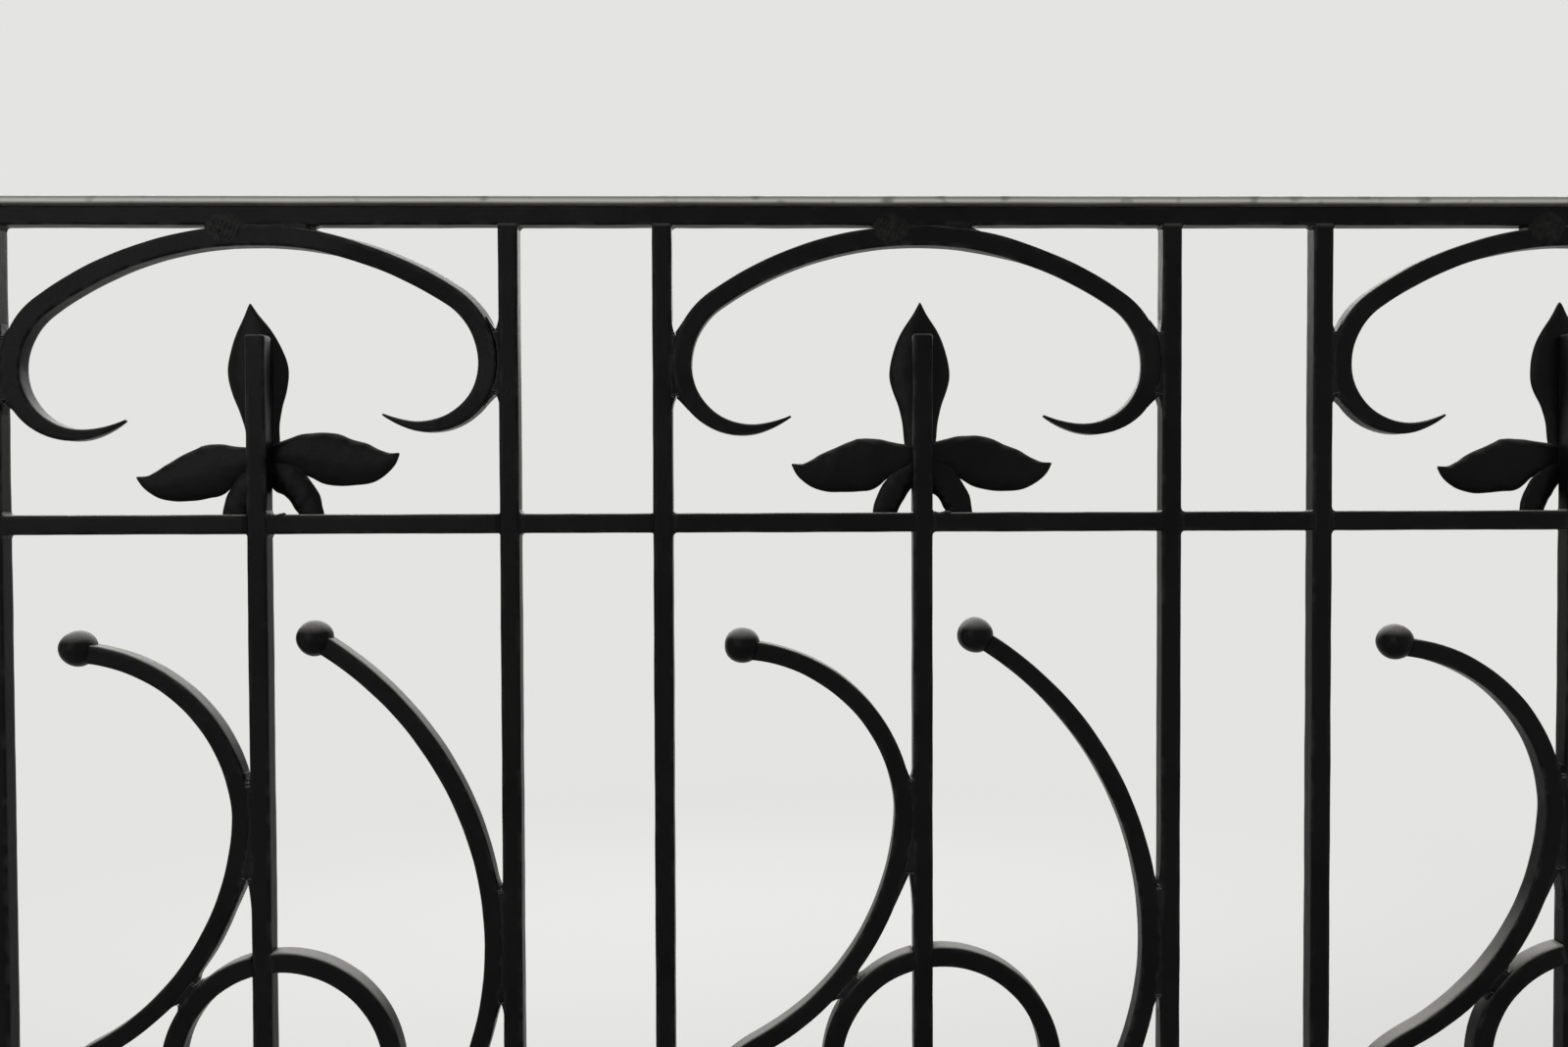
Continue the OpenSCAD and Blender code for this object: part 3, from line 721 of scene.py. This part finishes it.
for n, x in enumerate(railing["bays"]):
    stem = stemPlaces[n]
    beads = []
    for place in (x - railing["bayWidth"] / 2, x + railing["bayWidth"] / 2):
        beads += crossing(place, railing["topRail"], (-1,))
        beads += crossing(place, railing["middleRail"])
        beads += crossing(place, railing["bottomRail"], (1,))
    beads += crossing(stem, railing["middleRail"])
    beads += crossing(stem, railing["bottomRail"])
    makePiece(f"cornerWelds_{n + 1}", join(beads), weldPaint)
endBeads = []
for side in (-1, 1):
    for rail, ways in (("topRail", (-1,)), ("middleRail", (1, -1)), ("bottomRail", (1, -1))):
        endBeads += crossing(side * ends, railing[rail], ways, (-side,))
makePiece("endWelds", join(endBeads), weldPaint)
print("corner welds laid")


# Where two bars lie side by side the weld fills the wedge between their edges: it
# runs along the middle of the gap, as wide as the gap and a little more
def alongLine(line, halfWidth, halfDepth, seed):
    s = np.concatenate([[0], np.cumsum(np.hypot(*np.diff(line, axis=0).T))])
    even = np.linspace(0, s[-1], max(8, round(s[-1] / weld["step"])))
    middle = np.stack([np.interp(even, s, line[:, k]) for k in (0, 1)], -1)
    heading = np.unwrap(np.arctan2(np.gradient(middle[:, 1]), np.gradient(middle[:, 0])))
    ripple = 0.2 * np.sin(2 * math.pi * even / weld["ripple"] + seed) + 0.25 * np.sin(even / 7 + seed * 2)
    return sweepBar((middle[:, 0], middle[:, 1], heading, even), np.interp(even, s, halfWidth),
                    np.interp(even, s, halfDepth) + ripple, weld["arris"], seed, 0.1)


def weldBetween(edgeA, edgeB, low, high, tails, seed):
    # The gap is full from point low to point high. Past each end two tails hug the
    # edges and thin out with the square of the distance, which leaves a V between them.
    across = edgeB - edgeA
    gap = np.hypot(*across.T)
    across = across / gap[:, None]
    welds = [alongLine((edgeA + edgeB)[low:high + 1] / 2, gap[low:high + 1] / 2 + weld["bite"],
                       np.full(high + 1 - low, weld["deep"]), seed)]
    for end, way, length in ((low, -1, tails[0]), (high, 1, tails[1])):
        last = min(max(end + way * length, 0), len(gap) - 1)
        if abs(last - end) < 3:
            continue
        part = np.arange(end, last + way, way)
        left = 1 - np.abs(part - end) / abs(last - end)
        thick = gap[end] / 2 * left**2 + 0.2
        for edge, sign in ((edgeA, 1), (edgeB, -1)):
            line = edge[part] + sign * across[part] * (thick / 2 - weld["bite"] / 2)[:, None]
            welds.append(alongLine(line, thick / 2 + weld["bite"] / 2, weld["deep"] * (0.6 + 0.4 * left), seed + sign))
    return join(welds)


def edgeOf(path, halfWidth, side):
    # the path's left edge for side 1, its right edge for side -1
    xs, zs, headings = path[:3]
    return np.stack([xs - side * halfWidth * np.sin(headings), zs + side * halfWidth * np.cos(headings)], -1)


def weldAtWall(edge, wall, fullUntil, tails, seed):
    # The edge runs downwards past an upright's face. The weld is full where the gap
    # is under fullUntil, given above and below the closest place.
    gap = np.abs(edge[:, 0] - wall)
    low = high = int(gap.argmin())
    while low > 0 and gap[low - 1] < fullUntil[0]:
        low -= 1
    while high < len(gap) - 1 and gap[high + 1] < fullUntil[1]:
        high += 1
    face = np.stack([np.full(len(edge), wall), edge[:, 1]], -1)
    # where the two touch, the gap still needs a direction
    face[:, 0] += np.where(gap < 0.05, np.sign(wall - edge[:, 0] + 1e-9) * 0.05, 0)
    return weldBetween(edge, face, low, high, tails, seed)


inner = railing["bayWidth"] / 2 - half
stemFaces = (railing["stemShift"] - half, railing["stemShift"] + half)
leftLine = followArcs((touchLeft, scroll["leftTouch"], 270), leftDown, 1)
leftHead = followArcs((touchLeft, scroll["leftTouch"], 90), headSteps, 1)
rightLine = followArcs((barSide, scroll["rightTouch"], 270), rightDown, 1)
rightArm = followArcs((barSide, scroll["rightTouch"], 90), [scroll["arm"]], 1)
hornLine = followArcs(hornStart, hornSteps, 1)
# Between crown and top rail: from and to in millimetres off each bay's middle, how far the
# tails run on, and how far out the gap is followed
crownWeld = {"spans": ((-31, 42), (-33, 37), (-35, 40)), "tails": (0, 9), "reach": 75.0}
# Against uprights: the widest gap that is full above and below the closest place, and
# how far the tails run on there. The horseshoe's arm begins 60 mm from its middle.
armFrom = 60
wallWelds = {
    "leftOnStem": ((3.0, 6.2), (8, 34)),
    "leftOnBar": ((3.2, 3.2), (12, 12)),
    "rightOnBar": ((3.0, 3.4), (10, 12)),
    "rightOnStem": ((3.2, 3.4), (12, 10)),
    "horseshoe": ((4.2, 5.4), (10, 10)),
}
# Ring: one short bridge to the left scroll, in degrees round from the right
ringWeld = {"from": 133.8, "to": 145.8, "search": 11.0, "tails": (8, 8)}
# The joint heaped on each crown's face, inset from its weld's left end
crownHeap = {
    "inset": 14.0, "drop": 9.0, "wide": 27.0, "high": 23.0, "rise": 0.8, "ridge": 3.0, "ridgeRise": 0.55,
    "sunk": 0.35,
}
# A run of weld on the middle rail's front arris, beside the flower's right root
railRun = {"run": (15.0, 0.6, 0.5), "radius": 2.1, "ripple": 2.6}


def bothWays(down, up, side):
    # one edge from the upper end to the lower end; side as seen going down
    thick = scroll["bar"] / 2
    return np.concatenate([edgeOf(up, thick, -side)[:0:-1], edgeOf(down, thick, side)])


def weldHeap(x, z, look, seed):
    # A low dome, its height the root of 1 - q^2 at the share q of its uneven radius,
    # crossed by steep ridges that rise to the right and break up
    share, turn = np.meshgrid(np.sin(np.radians(np.linspace(90, 1, 26))), wholeTurn(56), indexing="ij")
    reach = share * (1 + 0.05 * np.sin(3 * turn + seed) + 0.035 * np.sin(8 * turn + 2 * seed))
    u, w = reach * look["wide"] / 2 * np.cos(turn), reach * look["high"] / 2 * np.sin(turn)
    ridges = np.sin(2 * math.pi * (0.9 * u - 0.43 * w) / look["ridge"] + 0.8 * np.sin(w / 2.3 + seed))
    broken = 0.6 + 0.4 * np.sin(0.9 * w + 0.5 * u + seed * 3)
    dome = look["rise"] * np.sqrt(1 - share**2)
    rise = dome + (0.5 + 0.5 * ridges) * broken * look["ridgeRise"] * (1 - share**6)
    front = np.stack([x + u, -half + look["sunk"] - rise, z + w], -1)
    return tube(np.concatenate([front[:1] + (0, 1.5, 0), front]))


def contactWelds(n, x):
    seed = n * 2.1
    welds = [
        weldAtWall(bothWays(leftLine, leftHead, 1), stemFaces[0], *wallWelds["leftOnStem"], seed),
        weldAtWall(edgeOf(leftLine, scroll["bar"] / 2, -1), -inner, *wallWelds["leftOnBar"], seed + 1),
        weldAtWall(bothWays(rightLine, rightArm, 1), inner, *wallWelds["rightOnBar"], seed + 2),
        weldAtWall(edgeOf(rightLine, scroll["bar"] / 2, -1), stemFaces[1], *wallWelds["rightOnStem"], seed + 3),
    ]
    # horseshoe: against both bay bars, and under the top rail
    outside = edgeOf(hornLine, hornHalf(hornLine[3]), 1)
    for side in (-1, 1):
        turned = np.stack(turnedBy(horn["turn"][n], side * outside[:, 0], outside[:, 1], hornMiddle), -1)
        welds.append(weldAtWall(turned[armFrom:], side * inner, *wallWelds["horseshoe"], seed + 4 + side))
    crown = outside[outside[:, 0] < crownWeld["reach"]]
    crown = np.concatenate([crown[:0:-1] * (-1, 1), crown])
    crown = np.stack(turnedBy(horn["turn"][n], crown[:, 0], crown[:, 1], hornMiddle), -1)
    under = np.stack([crown[:, 0], np.full(len(crown), barTop + 0.3)], -1)
    low, high = np.searchsorted(crown[:, 0], crownWeld["spans"][n])
    welds.append(weldBetween(crown, under, int(low), int(high), crownWeld["tails"], seed + 6))
    # ring: across the gap to the left scroll, on rays from the ring's centre
    edge = edgeOf(leftLine, scroll["bar"] / 2, 1) - (ring["x"], ring["z"])
    angle, reach = np.arctan2(edge[:, 1], edge[:, 0]), np.hypot(edge[:, 0], edge[:, 1])
    near = np.abs(angle - math.radians((ringWeld["from"] + ringWeld["to"]) / 2)) < math.radians(ringWeld["search"])
    angle, reach = angle[near], reach[near]
    around = np.stack([np.cos(angle), np.sin(angle)], -1)
    centre = np.array([ring["x"], ring["z"]])
    low, high = np.searchsorted(angle, np.radians([ringWeld["from"], ringWeld["to"]]))
    welds.append(weldBetween(centre + around * ring["outer"], centre + around * reach[:, None], int(low),
                             int(high) - 1, ringWeld["tails"], seed + 7))
    points, faces, edges = join(welds)
    points[:, 0] += x
    return points, faces, edges


for n, x in enumerate(railing["bays"]):
    makePiece(f"contactWelds_{n + 1}", contactWelds(n, x), weldPaint)
    heapX = x + crownWeld["spans"][n][0] + crownHeap["inset"]
    heap = weldHeap(heapX, railing["topRail"] - crownHeap["drop"], crownHeap, n * 2.1)
    share = np.linspace(0, 1, 24)[:, None]
    start = np.array([x + railing["stemShift"] + half - 1, -half + 1.2, railing["middleRail"] + half - 1.6])
    run = start + share * railRun["run"] + np.sin(share * 9 + n) * (0, 0.3, 0.5)
    bead = beadSurface(run, railRun["radius"], railRun["ripple"], n)
    makePiece(f"faceWelds_{n + 1}", join([heap, bead]), spatterPaint)
print("contacts welded")

# Feet: the plates stay as they are built; nuts, washers and a bead round each upright are added
foot = {"holeGap": 48.0, "washer": (17.0, 1.6), "flats": 13.0, "nut": 6.5, "stud": (8.0, 4.0), "bead": 3.0}


def boltShape(x, y, turn):
    # Radius and height of each ring, upwards. The nut's radius is a function of the
    # turn: a hexagon's flats, cut by the chamfer's cone.
    angle = wholeTurn(48)
    hexagon = foot["flats"] / 2 / np.cos((angle + turn) % (math.pi / 3) - math.pi / 6)
    cone = foot["flats"] / 2 + 0.25
    washer, stud = foot["washer"][0] / 2, foot["stud"][0] / 2
    base = railing["plate"]
    washerTop = base + foot["washer"][1]
    nutTop = washerTop + foot["nut"]
    studTop = nutTop + foot["stud"][1]
    rows = (
        (washer, base - 0.2), (washer, washerTop - 0.3), (washer - 0.3, washerTop),
        (hexagon - 0.1, washerTop), (hexagon, washerTop + 0.3),
        (np.minimum(hexagon, cone + 0.9), nutTop - 0.7), (np.minimum(hexagon, cone), nutTop - 0.15),
        (cone - 0.5, nutTop),
        (stud + 0.3, nutTop), (stud, nutTop - 0.4), (stud, studTop - 0.8), (stud - 0.8, studTop), (0.3, studTop + 0.1))
    return tube(np.stack([np.stack([x + r * np.cos(angle), y + r * np.sin(angle), np.full(len(angle), high)], -1)
                          for r, high in rows]), True)


def footBead(x):
    # round the upright on a square with rounded corners, closed on itself
    turn, across = wholeTurn(96), wholeTurn(12)
    reach = (half + 0.8) / (np.abs(np.cos(turn))**8 + np.abs(np.sin(turn))**8) ** (1 / 8)
    ripple = 1 + 0.07 * np.sin(turn * 22) + 0.05 * np.sin(turn * 5 + x)
    size = foot["bead"] * ripple
    out = reach[:, None] + size[:, None] * np.cos(across)
    points = np.stack([x + out * np.cos(turn)[:, None], out * np.sin(turn)[:, None],
                       railing["plate"] + 0.4 + size[:, None] * np.sin(across)], -1)
    r, c = np.meshgrid(np.arange(len(turn)), np.arange(len(across)), indexing="ij")
    here, nextRing = r * len(across), (r + 1) % len(turn) * len(across)
    beside = (c + 1) % len(across)
    quads = np.stack([here + c, nextRing + c, nextRing + beside, here + beside], -1)
    return points.reshape(-1, 3), quads.reshape(-1, 4).tolist(), np.zeros(r.size)


for n, x in enumerate([-ends, *stemPlaces, ends]):
    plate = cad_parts[f"foot_{n + 1}"]
    plate.data.materials.clear()
    plate.data.materials.append(footPaint)
    gap = foot["holeGap"] / 2
    bolts = [boltShape(x + sx * gap, sy * gap, n + sx * 0.7 + sy * 0.3) for sx in (-1, 1) for sy in (-1, 1)]
    makePiece(f"footBolts_{n + 1}", join(bolts), footPaint)
    makePiece(f"footWeld_{n + 1}", footBead(x), weldPaint)
print("feet bolted")


# Studio: a pale floor that fades into a pale surround, and soft lamps
studio = {
    "pale": "#e4e4e2", "floor": "#d8d8d6", "floorRadius": 9.0, "floorDrop": 0.0004, "fadeFrom": 1.2, "fadeTo": 3.2,
    "surround": 0.32, "aimHigh": 0.75,
}
paleColour = hexColour(studio["pale"])


def seenRay(tree):
    # 1 for camera, glossy and transmission rays, so reflections show the surround too
    path = addNode(tree, "ShaderNodeLightPath").outputs
    seen = path["Is Camera Ray"]
    for ray in ("Is Glossy Ray", "Is Transmission Ray"):
        seen = addNode(tree, "ShaderNodeMath", {"operation": "MAXIMUM"}, {0: seen, 1: path[ray]}).outputs[0]
    return seen


# a disc of rings in metres, just under the foot plates; the outermost ring stays open
turn, out = np.meshgrid(wholeTurn(96), np.linspace(0.01, studio["floorRadius"], 12))
floorPoints = np.stack([out * np.cos(turn), out * np.sin(turn), np.full(out.shape, -studio["floorDrop"])], -1)
floorMesh = bpy.data.meshes.new("studioFloor")
floorMesh.from_pydata(floorPoints.reshape(-1, 3).tolist(), [], tubeFaces(*out.shape)[:-1])
studioFloor = addObject("studioFloor", floorMesh)

floorMaterial = bpy.data.materials.new("paleFloor")
floorMaterial.use_nodes = True
tree = floorMaterial.node_tree
tree.nodes.clear()
place = addNode(tree, "ShaderNodeTexCoord").outputs["Object"]
away = addNode(tree, "ShaderNodeVectorMath", {"operation": "LENGTH"}, {0: place}).outputs["Value"]
fade = addNode(tree, "ShaderNodeMapRange", {"interpolation_type": "SMOOTHSTEP"}, {
    "Value": away, "From Min": studio["fadeFrom"], "From Max": studio["fadeTo"]}).outputs["Result"]
faded = addNode(tree, "ShaderNodeMath", {"operation": "MULTIPLY"}, {0: fade, 1: seenRay(tree)}).outputs[0]
matt = addNode(tree, "ShaderNodeBsdfDiffuse", inputs={"Color": hexColour(studio["floor"])})
glow = addNode(tree, "ShaderNodeEmission", inputs={"Color": paleColour, "Strength": 1.0})
mixed = addNode(tree, "ShaderNodeMixShader", inputs={0: faded, 1: matt.outputs[0], 2: glow.outputs[0]})
addNode(tree, "ShaderNodeOutputMaterial", inputs={"Surface": mixed.outputs[0]})
floorMesh.materials.append(floorMaterial)

world = bpy.data.worlds.new("paleSurround")
bpy.context.scene.world = world
world.use_nodes = True
tree = world.node_tree
tree.nodes.clear()
lightSide = addNode(tree, "ShaderNodeBackground", inputs={"Color": (1, 1, 1, 1), "Strength": studio["surround"]})
seenSide = addNode(tree, "ShaderNodeBackground", inputs={"Color": paleColour, "Strength": 1.0})
both = addNode(tree, "ShaderNodeMixShader", inputs={
    0: seenRay(tree), 1: lightSide.outputs[0], 2: seenSide.outputs[0]})
addNode(tree, "ShaderNodeOutputWorld", inputs={"Surface": both.outputs[0]})

# The sky over the street lights the railing from behind, and the room is dim
lamps = {
    "skySoftbox": {"place": (-0.2, 2.3, 2.6), "size": (6.0, 3.0), "power": 138},
    "roomSoftbox": {"place": (-1.8, -2.6, 1.9), "size": (2.4, 2.4), "power": 26},
}
for name, lamp in lamps.items():
    lampData = bpy.data.lights.new(name, "AREA")
    lampData.shape = "RECTANGLE"
    lampData.size, lampData.size_y = lamp["size"]
    lampData.energy = lamp["power"]
    lampObject = addObject(name, lampData)
    lampObject.location = lamp["place"]
    aim = -lampObject.location
    aim.z += studio["aimHigh"]
    lampObject.rotation_euler = aim.to_track_quat("-Z", "Y").to_euler()
    lampObject.visible_camera = False
bpy.context.scene.view_settings.view_transform = "Standard"
print("studio lit")
